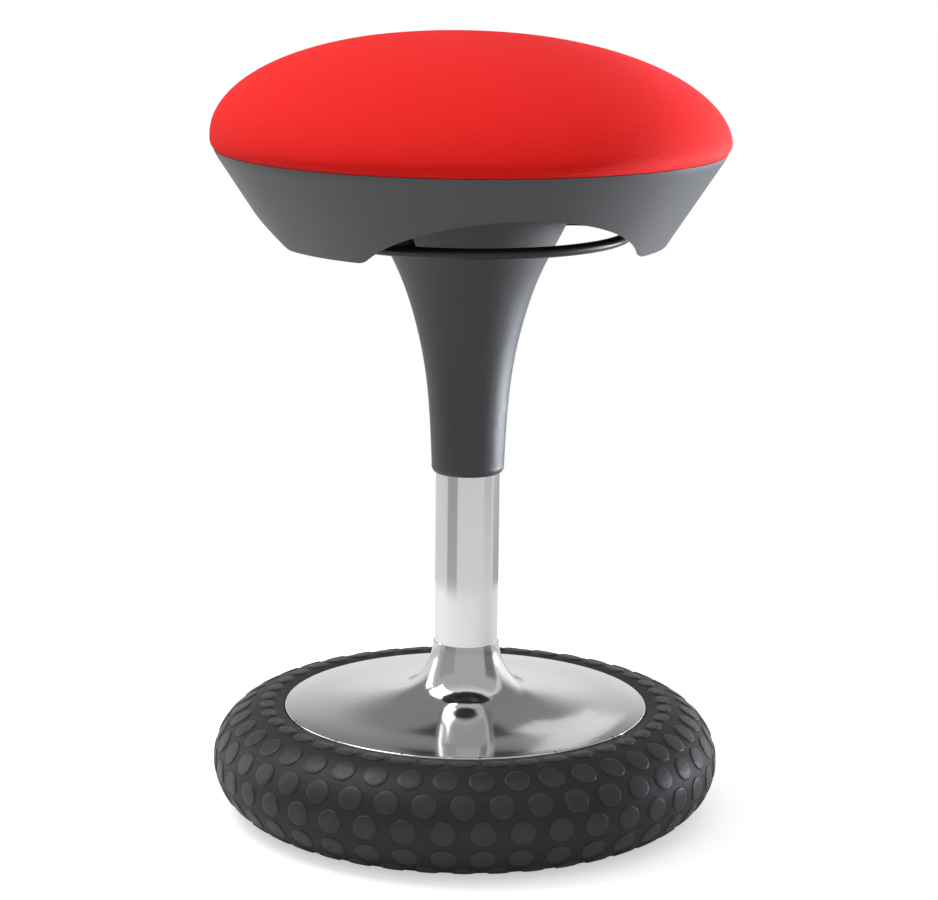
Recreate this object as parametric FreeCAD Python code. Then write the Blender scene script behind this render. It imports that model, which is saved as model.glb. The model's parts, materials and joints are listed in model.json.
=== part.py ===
import FreeCAD, Part
import math
import os

from FreeCAD import Vector

# Wobble stool. A round domed seat turns and rises on a gas lift, and the base is a metal disc on a
# hollow rubber ring, so that the whole stool rocks with the person on it.
# Millimetres, +Z up. The origin is on the floor at the stool's axis, and the seat's front is -Y.

AXIS = Vector(0, 0, 1)
ORIGIN = Vector(0, 0, 0)
FRONT_ANGLE = -90.0            # polar angle of the seat's front, in degrees from +X

# Clearances
MOVING_GAP = 0.3               # between pieces that move past each other
RUNNING_FIT = 0.05             # radial, shaft in bore
PISTON_FIT = 0.08              # radial, piston in the gas cylinder
LOOSE_FIT = 0.6                # radial, pieces that never touch

# Rubber ring
TYRE_RADIUS = 155.0            # from the axis to the middle of the section
TYRE_HALF_WIDTH = 44.2
TYRE_HALF_HEIGHT = 41.8
TYRE_FLAT = 0.6                # depth of the flat that the section stands on
TYRE_WALL = 10.0
TYRE_LIP = 6.0                 # width of the lip that the base plate clamps
SEAM_ANGLE = -15.0             # where the mould's parting ridge runs, up from the widest point
SEAM_RIDGE = 0.9               # how far the ridge stands out
SEAM_WIDTH = 2.2

# Cast base disc
DISC_RADIUS = 143.6
DISC_EDGE = 4.0                # thickness at the rim
DISC_PROUD = 0.3               # rim above the rubber ring's top
DISC_WALL = 5.0                # thickness of the dished top
RIM_ROUND = 1.5                # rounding of the rim's upper edge
NOTCH_COUNT = 15               # small notches in that edge
NOTCH_WIDTH = 1.2
NOTCH_DEPTH = 1.8
NOTCH_ANGLE = -98.1            # polar angle of one notch
HUB_OUTLINE = [                # outward from the hub's top edge: radius, height above the rim
    (27.4, 41.0),
    (33.0, 27.5),
    (43.7, 15.6),
    (66.0, 8.2),
    (100.0, 3.4),
]
HUB_HEIGHT = 51.4              # hub's top edge above the rim
HUB_LIP = 1.0                  # hub's wall at its top edge
HUB_WALL = 6.0                 # hub's wall below the disc
SKIRT_RADIUS = 122.0           # outside of the ring wall that the rubber ring sits round
SKIRT_WALL = 4.0
RIB_COUNT = 6
RIB_WIDTH = 5.0
RIB_RISE = 10.0                # bottom edge of a rib above the base plate
BOSS_CIRCLE = 100.0
BOSS_RADIUS = 7.0

# Base plate and its screws
PLATE_TOP = 30.0               # height of the plate's upper face
PLATE_THICKNESS = 6.0
PLATE_SCREW = 3.0              # shank radius
PLATE_SCREW_LENGTH = 18.0
PLATE_SCREW_HEAD = 5.5
PLATE_SCREW_HEAD_HEIGHT = 3.5
CAP_HOLE = 14.0
CAP_WALL = 2.0

# Column tube
TUBE_RADIUS = 25.0
TUBE_WALL = 1.5
TUBE_TOP = 330.0
TUBE_LEDGE = 4.0               # thickness of the hub's ledge under the tube
COLUMN_FLOOR = 4.0
GUIDE_LENGTH = 68.0
GUIDE_FLANGE = 2.0

# Gas spring
ROD_RADIUS = 5.0
ROD_GROOVE = 1.0               # depth and height of the groove for the clip
ROD_END = 2.4                  # rod below the clip
CYLINDER_RADIUS = 14.0
CYLINDER_WALL = 2.5
TAPER_LENGTH = 35.0
TAPER_DROP = 0.8               # radius lost over the taper
GLAND_LENGTH = 16.0
PISTON_LENGTH = 14.0
PISTON_STOP = 3.0              # piston above the gland with the seat up
LIFT_STROKE = 125.0            # seat's travel from the top to the bottom
STROKE_ROOM = 1.0              # cylinder's foot above the buffer with the seat down
GAS_ROOM = 47.0                # bore left above the piston with the seat down
PIN_RADIUS = 4.0
PIN_CHAMFER = 0.5
PIN_LENGTH = 22.5
PIN_PROUD = 6.0                # pin above the cylinder's end

# Thrust bearing under the rod's buffer
RACE_RADIUS = 14.0
RACE_THICKNESS = 2.0
BALL_RADIUS = 1.6
BALL_CIRCLE = 10.0
BALL_COUNT = 10
CAGE_THICKNESS = 1.2
CAGE_WIDTH = 5.0
BUFFER_RADIUS = 13.0
BUFFER_LENGTH = 23.5
WASHER_RADIUS = 11.0
WASHER_THICKNESS = 2.3
CLIP_RADIUS = 9.0

# Seat board, and the heights hung from it
BOARD_BOTTOM = 521.0
BOARD_THICKNESS = 12.0
BOARD_ROOM = 5.9               # between the covered board's edge and the shell's wall
HAT_DEPTH = 18.0               # board to the floor of the mounting plate's well
HAT_SHEET = 3.0
HAT_RADIUS = 48.0              # outside of the well
HAT_FLANGE = 83.0
CYLINDER_PROUD = 2.0           # cylinder's end above the well's floor
BUSH_RADIUS = 20.0
BUSH_LENGTH = 31.0
BOLT_CIRCLE = 68.0
BOLT_COUNT = 4
BOLT_RADIUS = 4.0
BOLT_HEAD = 6.5
BOLT_HEAD_HEIGHT = 5.4
BOLT_WASHER = 9.0
BOLT_WASHER_THICKNESS = 1.6
NUT_BARREL = 5.0
NUT_FLANGE = 10.0
NUT_FLANGE_THICKNESS = 1.5

# Release ring
RING_RADIUS = 121.0
RING_BAR = 4.25
RING_DROP = 60.0               # board's underside to the middle of the bar
ARM_ANGLE = 211.5              # polar angle of one arm; the other is opposite
ARM_HALF_WIDTH = 7.0
ARM_THICKNESS = 6.0
ARM_FILLET = 30.0              # where an arm widens into the ring
RISER_RADIUS = 51.0            # inner face of the arm's upright part
RISER_THICKNESS = 6.0
LEVER_RADIUS = 34.0
LEVER_THICKNESS = 3.3
RING_TILT = 4.0                # degrees that the ring's front lifts by
FULCRUM_RADIUS = 30.0
FULCRUM_WALL = 3.0
FULCRUM_GAP = 0.4
FULCRUM_FLANGE = 42.0
FULCRUM_FLANGE_THICKNESS = 1.5
FULCRUM_SCREW = 1.6
FULCRUM_SCREW_HEAD = 3.0
FULCRUM_SCREW_CIRCLE = 37.5
FULCRUM_SCREW_COUNT = 3

# Column shroud
SHROUD_OUTLINE = [             # upward from the foot: radius, height above the foot
    (28.4, 6.0),
    (29.4, 28.0),
    (33.0, 73.0),
    (42.0, 119.0),
    (56.3, 160.2),
    (73.8, 195.2),
]
SHROUD_FOOT = 272.0
SHROUD_FOOT_ROUND = 2.2        # how far the foot's rounded outer corner comes in
SHROUD_TOP_RADIUS = 87.0
SHROUD_WALL = 2.6
SHROUD_FLANGE = 14.0           # width of the flange under the board
SHROUD_SCREW = 2.2
SHROUD_SCREW_HEAD = 4.5
SHROUD_SCREW_COUNT = 4

# Seat shell
SHELL_FOOT = 454.5
SHELL_FLARE = 40.5             # how much wider the cone is at its top than at its foot
SHELL_SHOULDER = 8.4           # height of the rounded rim above the cone
SHELL_ROUND = 4.6              # how far the rounded rim stands out from the cone
SHELL_WALL = 3.2
LEDGE_WIDTH = 21.0             # ledge under the board, in from the board's edge
ARCH_COUNT = 3
ARCH_HALF_WIDTH = 106.0
ARCH_HEIGHT = 47.0
ARCH_CENTRE = 445.0            # height of the ellipse's centre
EAR_FILLET = 7.0
SHELL_SCREW = 2.2
SHELL_SCREW_HEAD = 4.5
SHELL_SCREW_HEAD_HEIGHT = 3.0
SHELL_SCREW_INSET = 9.0        # from the board's edge
SHELL_SCREW_COUNT = 6
WOOD_SCREW_LENGTH = 12.0

# Cushion
CUSHION_RADIUS = 200.8
CUSHION_OVERHANG = 4.2         # cushion beyond the shell's rim
CUSHION_RISE = 77.6            # widest line to the top
CUSHION_FULLNESS = 0.93        # below 1 the dome's shoulders are fuller than an ellipse's
CUSHION_SIDE = 7.8             # underside to the widest line
CUSHION_GAP = 4.2              # board's underside to the cushion's rim
CUSHION_LEAN = 48.0            # how far the top lies behind the axis
CUSHION_LEAN_POWER = 1.1
CUSHION_SECTIONS = 9
CUSHION_CORNER = 3.0           # rounding under the cushion's edge
CROWN_START = 0.94             # share of the quarter turn at which the crown is left flat
COVER_THICKNESS = 1.5
TUCK_WIDTH = 36.0              # cover under the board, in from the board's edge
STAPLE_COUNT = 36
STAPLE_INSET = 7.0             # from the cover's inner edge
STAPLE_WIDTH = 10.0
STAPLE_WIRE = 0.8
STAPLE_LEG = 8.0

# Heights and radii that follow from the sizes above
TYRE_CENTRE = TYRE_HALF_HEIGHT - TYRE_FLAT
DISC_TOP = TYRE_CENTRE + TYRE_HALF_HEIGHT + DISC_PROUD
DISC_UNDER = DISC_TOP - DISC_EDGE
HUB_TOP = DISC_TOP + HUB_HEIGHT
HUB_OUTER = TUBE_RADIUS + HUB_WALL
PLATE_BOTTOM = PLATE_TOP - PLATE_THICKNESS
TYRE_BORE = SKIRT_RADIUS + MOVING_GAP
PLATE_RADIUS = TYRE_BORE + TYRE_LIP - MOVING_GAP
TUBE_FOOT = PLATE_TOP + TUBE_LEDGE
TUBE_BORE = TUBE_RADIUS - TUBE_WALL
FLOOR_TOP = TUBE_FOOT + COLUMN_FLOOR
RACE_TOP = FLOOR_TOP + RACE_THICKNESS
UPPER_RACE = RACE_TOP + 2 * BALL_RADIUS + MOVING_GAP
BUFFER_FOOT = UPPER_RACE + RACE_THICKNESS
WASHER_BOTTOM = TUBE_FOOT - MOVING_GAP - WASHER_THICKNESS
CLIP_BOTTOM = WASHER_BOTTOM - ROD_GROOVE
ROD_FOOT = CLIP_BOTTOM - ROD_END
CYLINDER_FOOT = BUFFER_FOOT + BUFFER_LENGTH + STROKE_ROOM + LIFT_STROKE
PISTON_FOOT = CYLINDER_FOOT + GLAND_LENGTH + PISTON_STOP
BORE_TOP = PISTON_FOOT + PISTON_LENGTH + LIFT_STROKE + GAS_ROOM
BORE_RADIUS = CYLINDER_RADIUS - CYLINDER_WALL
HAT_FLOOR = BOARD_BOTTOM - HAT_DEPTH
CYLINDER_TOP = HAT_FLOOR + CYLINDER_PROUD
TAPER_FOOT = CYLINDER_TOP - TAPER_LENGTH
PIN_TOP = CYLINDER_TOP + PIN_PROUD
LEVER_BOTTOM = PIN_TOP + MOVING_GAP
LEVER_TOP = LEVER_BOTTOM + LEVER_THICKNESS
FULCRUM_BOTTOM = LEVER_TOP + FULCRUM_GAP
RING_HEIGHT = BOARD_BOTTOM - RING_DROP
TILT_RISE = math.sin(math.radians(RING_TILT))
PIVOT_RADIUS = FULCRUM_RADIUS + FULCRUM_WALL / 2
PIN_TRAVEL = PIVOT_RADIUS * TILT_RISE
SLOT_SIDE = (LEVER_TOP - RING_HEIGHT + ARM_THICKNESS / 2) * TILT_RISE + MOVING_GAP
SLOT_BELOW = (PIVOT_RADIUS + SHROUD_TOP_RADIUS) * TILT_RISE + MOVING_GAP
FLANGE_BOTTOM = BOARD_BOTTOM - HAT_SHEET
LEDGE_TOP = BOARD_BOTTOM - COVER_THICKNESS
BOARD_TOP = BOARD_BOTTOM + BOARD_THICKNESS
CUSHION_BOTTOM = BOARD_BOTTOM + CUSHION_GAP
CUSHION_MIDDLE = CUSHION_BOTTOM + CUSHION_SIDE
SHELL_TOP = CUSHION_BOTTOM - MOVING_GAP
SHELL_RIM_RADIUS = CUSHION_RADIUS - CUSHION_OVERHANG
SHELL_SHOULDER_RADIUS = SHELL_RIM_RADIUS - SHELL_ROUND
SHELL_FOOT_RADIUS = SHELL_SHOULDER_RADIUS - SHELL_FLARE
BOARD_RADIUS = SHELL_RIM_RADIUS - SHELL_WALL - COVER_THICKNESS - BOARD_ROOM
LEDGE_RADIUS = BOARD_RADIUS - LEDGE_WIDTH
SHELL_SCREW_CIRCLE = BOARD_RADIUS - SHELL_SCREW_INSET
COVER_TUCK = BOARD_RADIUS - TUCK_WIDTH
STAPLE_CIRCLE = COVER_TUCK + STAPLE_INSET
ARM_ANGLES = [ARM_ANGLE, ARM_ANGLE - 180.0]


def disc(radius, bottom, top, at=ORIGIN):
    """A solid cylinder between two heights."""
    return Part.makeCylinder(radius, top - bottom, Vector(at.x, at.y, bottom), AXIS)


def ring(inner, outer, bottom, top, at=ORIGIN):
    """A flat ring between two heights."""
    return disc(outer, bottom, top, at).cut(disc(inner, bottom - 1, top + 1, at))


def line(start, end):
    """A straight edge in the radial plane, from (radius, height) to (radius, height)."""
    return Part.makeLine(Vector(start[0], 0, start[1]), Vector(end[0], 0, end[1]))


def curved(start, middle, end):
    """A circular edge in the radial plane through three points."""
    return Part.Arc(*[Vector(radius, 0, height) for radius, height in (start, middle, end)]).toShape()


def smooth(points):
    """A smooth curve through points in the radial plane."""
    curve = Part.BSplineCurve()
    curve.interpolate([Vector(radius, 0, height) for radius, height in points])
    return curve.toShape()


def revolved(edges):
    """The solid that a closed outline in the radial plane sweeps round the axis."""
    return Part.Face(Part.Wire(edges)).revolve(ORIGIN, AXIS, 360)


def turned(points):
    """The solid that a closed polygon in the radial plane sweeps round the axis."""
    return revolved([line(a, b) for a, b in zip(points, points[1:] + points[:1])])


def circle_points(radius, count, first=0.0):
    """Points evenly spaced on a circle about the axis."""
    angles = [math.radians(first + 360.0 * index / count) for index in range(count)]
    return [Vector(radius * math.cos(a), radius * math.sin(a), 0) for a in angles]


def rotated(shape, angle):
    """A copy of the shape, turned about the axis by an angle in degrees."""
    copy = shape.copy()
    copy.rotate(ORIGIN, AXIS, angle)
    return copy


def pan_screw(at, seat, radius, length, head, head_height):
    """A screw that goes up from its seat, with its head below."""
    shank = disc(radius, seat, seat + length, at)
    top = Part.makeCone(head - head_height / 3, head, head_height, Vector(at.x, at.y, seat - head_height))
    return top.fuse(shank)


def tyre_ellipse(inset):
    """The rubber ring's elliptical section, smaller by an inset, as a face."""
    edge = Part.Ellipse(ORIGIN, TYRE_HALF_WIDTH - inset, TYRE_HALF_HEIGHT - inset).toShape()
    edge.rotate(ORIGIN, Vector(1, 0, 0), 90)
    edge.translate(Vector(TYRE_RADIUS, 0, TYRE_CENTRE))
    return Part.Face(Part.Wire([edge]))


def section_box(inner, outer, bottom, top):
    """A rectangle in the radial plane, as a face."""
    corners = [(inner, bottom), (outer, bottom), (outer, top), (inner, top)]
    return Part.Face(Part.Wire([line(a, b) for a, b in zip(corners, corners[1:] + corners[:1])]))


def seam_ridge():
    """The section of the low ridge that the mould leaves along the ring's lower side."""
    angle = math.radians(SEAM_ANGLE)
    point = Vector(TYRE_RADIUS + TYRE_HALF_WIDTH * math.cos(angle), 0,
                   TYRE_CENTRE + TYRE_HALF_HEIGHT * math.sin(angle))
    out = Vector(math.cos(angle) / TYRE_HALF_WIDTH, 0, math.sin(angle) / TYRE_HALF_HEIGHT).normalize()
    along = Vector(-out.z, 0, out.x)
    half = along * (SEAM_WIDTH / 2)
    root = point - out * SEAM_WIDTH
    tip = point + out * SEAM_RIDGE
    corners = [root - half, root + half, tip + half * 0.4, tip - half * 0.4]
    return Part.Face(Part.makePolygon(corners + corners[:1]))


def make_tyre():
    below = -2 * TYRE_HALF_HEIGHT
    above = TYRE_CENTRE + 2 * TYRE_HALF_HEIGHT
    shoulder = section_box(TYRE_BORE, TYRE_RADIUS, TYRE_CENTRE, DISC_UNDER)
    outside = tyre_ellipse(0).fuse([shoulder, seam_ridge()])
    outside = outside.cut(section_box(0, TYRE_BORE, below, above))
    outside = outside.cut(section_box(0, PLATE_RADIUS + MOVING_GAP, below, PLATE_TOP))
    outside = outside.cut(section_box(0, DISC_RADIUS + MOVING_GAP, DISC_UNDER, above))
    outside = outside.cut(section_box(0, TYRE_RADIUS + 2 * TYRE_HALF_WIDTH, below, 0))
    hollow = tyre_ellipse(TYRE_WALL).cut(section_box(0, PLATE_RADIUS + TYRE_WALL, below, above))
    section = outside.cut(hollow).removeSplitter()
    return section.Faces[0].revolve(ORIGIN, AXIS, 360)


def make_base_disc():
    rim = (DISC_RADIUS - RIM_ROUND, DISC_TOP)
    rim_side = (DISC_RADIUS, DISC_TOP - RIM_ROUND)
    round_off = RIM_ROUND * (1 - math.sqrt(0.5))
    rim_middle = (DISC_RADIUS - round_off, DISC_TOP - round_off)
    top = [(radius, DISC_TOP + height) for radius, height in HUB_OUTLINE]
    lip = (TUBE_RADIUS + HUB_LIP, HUB_TOP)
    under = [(radius, height - DISC_WALL) for radius, height in top[3:]]
    inner_skirt = SKIRT_RADIUS - SKIRT_WALL
    neck = (HUB_OUTER, top[2][1] - DISC_WALL)
    body = revolved([
        line((TUBE_RADIUS, TUBE_FOOT), (TUBE_RADIUS, HUB_TOP)),
        line((TUBE_RADIUS, HUB_TOP), lip),
        smooth([lip] + top + [rim]),
        curved(rim, rim_middle, rim_side),
        line(rim_side, (DISC_RADIUS, DISC_UNDER)),
        line((DISC_RADIUS, DISC_UNDER), (SKIRT_RADIUS, DISC_UNDER)),
        line((SKIRT_RADIUS, DISC_UNDER), (SKIRT_RADIUS, PLATE_TOP)),
        line((SKIRT_RADIUS, PLATE_TOP), (inner_skirt, PLATE_TOP)),
        line((inner_skirt, PLATE_TOP), (inner_skirt, DISC_UNDER)),
        line((inner_skirt, DISC_UNDER), under[1]),
        line(under[1], under[0]),
        line(under[0], neck),
        line(neck, (HUB_OUTER, PLATE_TOP)),
        line((HUB_OUTER, PLATE_TOP), (TUBE_BORE - TUBE_WALL, PLATE_TOP)),
        line((TUBE_BORE - TUBE_WALL, PLATE_TOP), (TUBE_BORE - TUBE_WALL, TUBE_FOOT)),
        line((TUBE_BORE - TUBE_WALL, TUBE_FOOT), (TUBE_RADIUS, TUBE_FOOT)),
    ])
    half = DISC_WALL / 2
    inside = turned([
        (HUB_OUTER - 1, PLATE_TOP), (inner_skirt + 1, PLATE_TOP), (inner_skirt + 1, DISC_UNDER + half),
        (under[1][0], under[1][1] + half), (under[0][0], under[0][1] + half),
        (HUB_OUTER - 1, neck[1] + half),
    ])
    corner = Vector(TUBE_RADIUS + 1, -RIB_WIDTH / 2, PLATE_TOP + RIB_RISE)
    rib = Part.makeBox(inner_skirt - TUBE_RADIUS, RIB_WIDTH, HUB_TOP, corner)
    boss = disc(BOSS_RADIUS, PLATE_TOP, HUB_TOP, Vector(BOSS_CIRCLE, 0, 0))
    stiffener = rib.fuse(boss).common(inside)
    body = body.fuse([rotated(stiffener, 360.0 * i / RIB_COUNT) for i in range(RIB_COUNT)]).removeSplitter()
    depth = PLATE_BOTTOM + PLATE_SCREW_LENGTH
    holes = [disc(PLATE_SCREW, PLATE_TOP - 1, depth, at) for at in circle_points(BOSS_CIRCLE, RIB_COUNT)]
    notches = [radial_box(DISC_RADIUS - NOTCH_DEPTH, DISC_RADIUS + 1, NOTCH_WIDTH / 2, DISC_TOP - NOTCH_DEPTH,
                          DISC_TOP + 1, NOTCH_ANGLE + 360.0 * i / NOTCH_COUNT) for i in range(NOTCH_COUNT)]
    return body.cut(holes + notches)


def make_base_plate():
    plate = ring(CAP_HOLE, PLATE_RADIUS, PLATE_BOTTOM, PLATE_TOP)
    holes = [disc(PLATE_SCREW + MOVING_GAP, PLATE_BOTTOM - 1, PLATE_TOP + 1, at)
             for at in circle_points(BOSS_CIRCLE, RIB_COUNT)]
    return plate.cut(holes)


def make_base_plate_screws():
    return [pan_screw(at, PLATE_BOTTOM, PLATE_SCREW, PLATE_SCREW_LENGTH, PLATE_SCREW_HEAD,
                      PLATE_SCREW_HEAD_HEIGHT) for at in circle_points(BOSS_CIRCLE, RIB_COUNT)]


def make_hub_cap():
    spigot = CAP_HOLE - MOVING_GAP
    bottom = PLATE_BOTTOM - CAP_WALL
    return turned([
        (0, bottom), (CAP_HOLE + 2 * CAP_WALL, bottom), (CAP_HOLE + 2 * CAP_WALL, PLATE_BOTTOM),
        (spigot, PLATE_BOTTOM), (spigot, PLATE_TOP), (spigot - CAP_WALL, PLATE_TOP),
        (spigot - CAP_WALL, PLATE_BOTTOM), (0, PLATE_BOTTOM),
    ])


def make_column_tube():
    return ring(TUBE_BORE, TUBE_RADIUS, TUBE_FOOT, TUBE_TOP)


def make_column_floor():
    return ring(ROD_RADIUS + RUNNING_FIT, TUBE_BORE, TUBE_FOOT, FLOOR_TOP)


def make_column_guide():
    sleeve = disc(TUBE_BORE, TUBE_TOP - GUIDE_LENGTH, TUBE_TOP)
    flange = disc(TUBE_RADIUS, TUBE_TOP, TUBE_TOP + GUIDE_FLANGE)
    bore = disc(CYLINDER_RADIUS + RUNNING_FIT, 0, TUBE_TOP + 2 * GUIDE_FLANGE)
    return sleeve.fuse(flange).cut(bore).removeSplitter()


def make_thrust_race_lower():
    return ring(ROD_RADIUS + LOOSE_FIT, RACE_RADIUS, FLOOR_TOP, RACE_TOP)


def make_thrust_balls():
    centres = circle_points(BALL_CIRCLE, BALL_COUNT)
    return [Part.makeSphere(BALL_RADIUS, Vector(at.x, at.y, RACE_TOP + BALL_RADIUS)) for at in centres]


def make_thrust_cage():
    middle = RACE_TOP + BALL_RADIUS
    low = middle - CAGE_THICKNESS / 2
    cage = ring(BALL_CIRCLE - CAGE_WIDTH / 2, BALL_CIRCLE + CAGE_WIDTH / 2, low, low + CAGE_THICKNESS)
    pockets = [disc(BALL_RADIUS + RUNNING_FIT, low - 1, low + CAGE_THICKNESS + 1, at)
               for at in circle_points(BALL_CIRCLE, BALL_COUNT)]
    return cage.cut(pockets)


def make_thrust_race_upper():
    return ring(ROD_RADIUS, RACE_RADIUS, UPPER_RACE, UPPER_RACE + RACE_THICKNESS)


def make_rod_buffer():
    return ring(ROD_RADIUS, BUFFER_RADIUS, BUFFER_FOOT, BUFFER_FOOT + BUFFER_LENGTH)


def make_piston_rod():
    rod = disc(ROD_RADIUS, ROD_FOOT, PISTON_FOOT + PISTON_LENGTH)
    groove = ring(ROD_RADIUS - ROD_GROOVE, 2 * ROD_RADIUS, CLIP_BOTTOM, WASHER_BOTTOM)
    return rod.cut(groove)


def make_piston():
    return ring(ROD_RADIUS, BORE_RADIUS - PISTON_FIT, PISTON_FOOT, PISTON_FOOT + PISTON_LENGTH)


def make_rod_washer():
    return ring(ROD_RADIUS, WASHER_RADIUS, WASHER_BOTTOM, WASHER_BOTTOM + WASHER_THICKNESS)


def make_rod_clip():
    clip = ring(ROD_RADIUS - ROD_GROOVE, CLIP_RADIUS, CLIP_BOTTOM, WASHER_BOTTOM)
    mouth = 1.5 * ROD_RADIUS
    opening = Part.makeBox(2 * CLIP_RADIUS, mouth, 2 * ROD_GROOVE, Vector(0, -mouth / 2, CLIP_BOTTOM - 0.5))
    return clip.cut(opening)


def taper_radius(height):
    """The gas cylinder's radius at a height on its taper."""
    return CYLINDER_RADIUS - TAPER_DROP * (height - TAPER_FOOT) / TAPER_LENGTH


def make_gas_cylinder():
    pin_bore = PIN_RADIUS + RUNNING_FIT
    pin_floor = PIN_TOP - PIN_LENGTH - 2 * PIN_TRAVEL
    return turned([
        (BORE_RADIUS, CYLINDER_FOOT), (CYLINDER_RADIUS, CYLINDER_FOOT), (CYLINDER_RADIUS, TAPER_FOOT),
        (taper_radius(CYLINDER_TOP), CYLINDER_TOP), (pin_bore, CYLINDER_TOP), (pin_bore, pin_floor),
        (0, pin_floor), (0, BORE_TOP), (BORE_RADIUS, BORE_TOP),
    ])


def make_cylinder_gland():
    return ring(ROD_RADIUS + RUNNING_FIT, BORE_RADIUS, CYLINDER_FOOT, CYLINDER_FOOT + GLAND_LENGTH)


def make_release_pin():
    pin = disc(PIN_RADIUS, PIN_TOP - PIN_LENGTH, PIN_TOP)
    rim = [edge for edge in pin.Edges if edge.CenterOfMass.z > PIN_TOP - PIN_CHAMFER / 2]
    return pin.makeChamfer(PIN_CHAMFER, rim)


def make_taper_bush():
    foot = HAT_FLOOR - BUSH_LENGTH
    return turned([
        (taper_radius(foot), foot), (BUSH_RADIUS, foot), (BUSH_RADIUS, HAT_FLOOR),
        (taper_radius(HAT_FLOOR), HAT_FLOOR),
    ])


def radial_box(inner, outer, half_width, bottom, top, angle):
    """A box that runs outward from the axis at a polar angle."""
    box = Part.makeBox(outer - inner, 2 * half_width, top - bottom, Vector(inner, -half_width, bottom))
    return rotated(box, angle)


def make_mounting_plate():
    plate = turned([
        (BUSH_RADIUS, HAT_FLOOR - HAT_SHEET), (HAT_RADIUS, HAT_FLOOR - HAT_SHEET),
        (HAT_RADIUS, FLANGE_BOTTOM), (HAT_FLANGE, FLANGE_BOTTOM), (HAT_FLANGE, BOARD_BOTTOM),
        (HAT_RADIUS - HAT_SHEET, BOARD_BOTTOM), (HAT_RADIUS - HAT_SHEET, HAT_FLOOR),
        (BUSH_RADIUS, HAT_FLOOR),
    ])
    windows = [radial_box(HAT_RADIUS - 2 * HAT_SHEET, HAT_RADIUS + HAT_SHEET, ARM_HALF_WIDTH + SLOT_SIDE,
                          CYLINDER_TOP, FLANGE_BOTTOM, angle) for angle in ARM_ANGLES]
    holes = [disc(BOLT_RADIUS + 0.4, FLANGE_BOTTOM - 1, BOARD_BOTTOM + 1, at)
             for at in circle_points(BOLT_CIRCLE, BOLT_COUNT)]
    return plate.cut(windows + holes)


def make_mounting_bolts():
    seat = FLANGE_BOTTOM - BOLT_WASHER_THICKNESS
    bolts = []
    for at in circle_points(BOLT_CIRCLE, BOLT_COUNT):
        corners = circle_points(BOLT_HEAD / math.cos(math.pi / 6), 6)
        outline = Part.makePolygon([at + corner + Vector(0, 0, seat) for corner in corners + corners[:1]])
        head = Part.Face(outline).extrude(Vector(0, 0, -BOLT_HEAD_HEIGHT))
        bolts.append(head.fuse(disc(BOLT_RADIUS, seat, BOARD_TOP - NUT_FLANGE_THICKNESS, at)))
    return bolts


def make_mounting_washers():
    seat = FLANGE_BOTTOM - BOLT_WASHER_THICKNESS
    return [ring(BOLT_RADIUS + MOVING_GAP, BOLT_WASHER, seat, FLANGE_BOTTOM, at)
            for at in circle_points(BOLT_CIRCLE, BOLT_COUNT)]


def make_board_nuts():
    nuts = []
    for at in circle_points(BOLT_CIRCLE, BOLT_COUNT):
        flange_foot = BOARD_TOP - NUT_FLANGE_THICKNESS
        barrel = disc(NUT_BARREL, BOARD_BOTTOM, flange_foot, at)
        nut = barrel.fuse(disc(NUT_FLANGE, flange_foot, BOARD_TOP, at))
        nuts.append(nut.cut(disc(BOLT_RADIUS, BOARD_BOTTOM - 1, BOARD_TOP + 1, at)))
    return nuts


def shroud_screw_points():
    circle = SHROUD_TOP_RADIUS + SHROUD_FLANGE / 2
    return circle_points(circle, SHROUD_SCREW_COUNT, ARM_ANGLE + 180.0 / SHROUD_SCREW_COUNT)


def shell_screw_points():
    return circle_points(SHELL_SCREW_CIRCLE, SHELL_SCREW_COUNT, FRONT_ANGLE)


def staples(grow=0.0):
    """The staples that hold the cover under the board, or the slits that their legs make."""
    made = []
    foot = LEDGE_TOP
    half = STAPLE_WIRE / 2
    reach = STAPLE_CIRCLE + half
    for index in range(STAPLE_COUNT):
        angle = 360.0 * (index + 0.5) / STAPLE_COUNT
        crown = Part.makeBox(STAPLE_WIRE, STAPLE_WIDTH, STAPLE_WIRE,
                             Vector(STAPLE_CIRCLE - half, -STAPLE_WIDTH / 2, foot - STAPLE_WIRE))
        legs = [Part.makeBox(STAPLE_WIRE + grow, STAPLE_WIRE + grow, STAPLE_LEG,
                             Vector(reach - STAPLE_WIRE - grow / 2, side - grow / 2, foot))
                for side in (-STAPLE_WIDTH / 2, STAPLE_WIDTH / 2 - STAPLE_WIRE)]
        if grow:
            made += [rotated(leg, angle) for leg in legs]
        else:
            made.append(rotated(crown.fuse(legs).removeSplitter(), angle))
    return made


def make_seat_board():
    board = disc(BOARD_RADIUS, BOARD_BOTTOM, BOARD_TOP)
    cuts = []
    for at in circle_points(BOLT_CIRCLE, BOLT_COUNT):
        cuts.append(disc(NUT_BARREL, BOARD_BOTTOM - 1, BOARD_TOP + 1, at))
        cuts.append(disc(NUT_FLANGE, BOARD_TOP - NUT_FLANGE_THICKNESS, BOARD_TOP + 1, at))
    for at in shroud_screw_points():
        cuts.append(disc(SHROUD_SCREW, BOARD_BOTTOM - 1, FLANGE_BOTTOM + WOOD_SCREW_LENGTH, at))
    for at in shell_screw_points():
        depth = LEDGE_TOP - SHELL_WALL + WOOD_SCREW_LENGTH
        cuts.append(disc(SHELL_SCREW, BOARD_BOTTOM - 1, depth, at))
    for at in circle_points(FULCRUM_SCREW_CIRCLE, FULCRUM_SCREW_COUNT):
        depth = BOARD_BOTTOM - FULCRUM_FLANGE_THICKNESS + BOARD_THICKNESS / 2
        cuts.append(disc(FULCRUM_SCREW, BOARD_BOTTOM - 1, depth, at))
    return board.cut(cuts + staples(grow=RUNNING_FIT))


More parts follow.
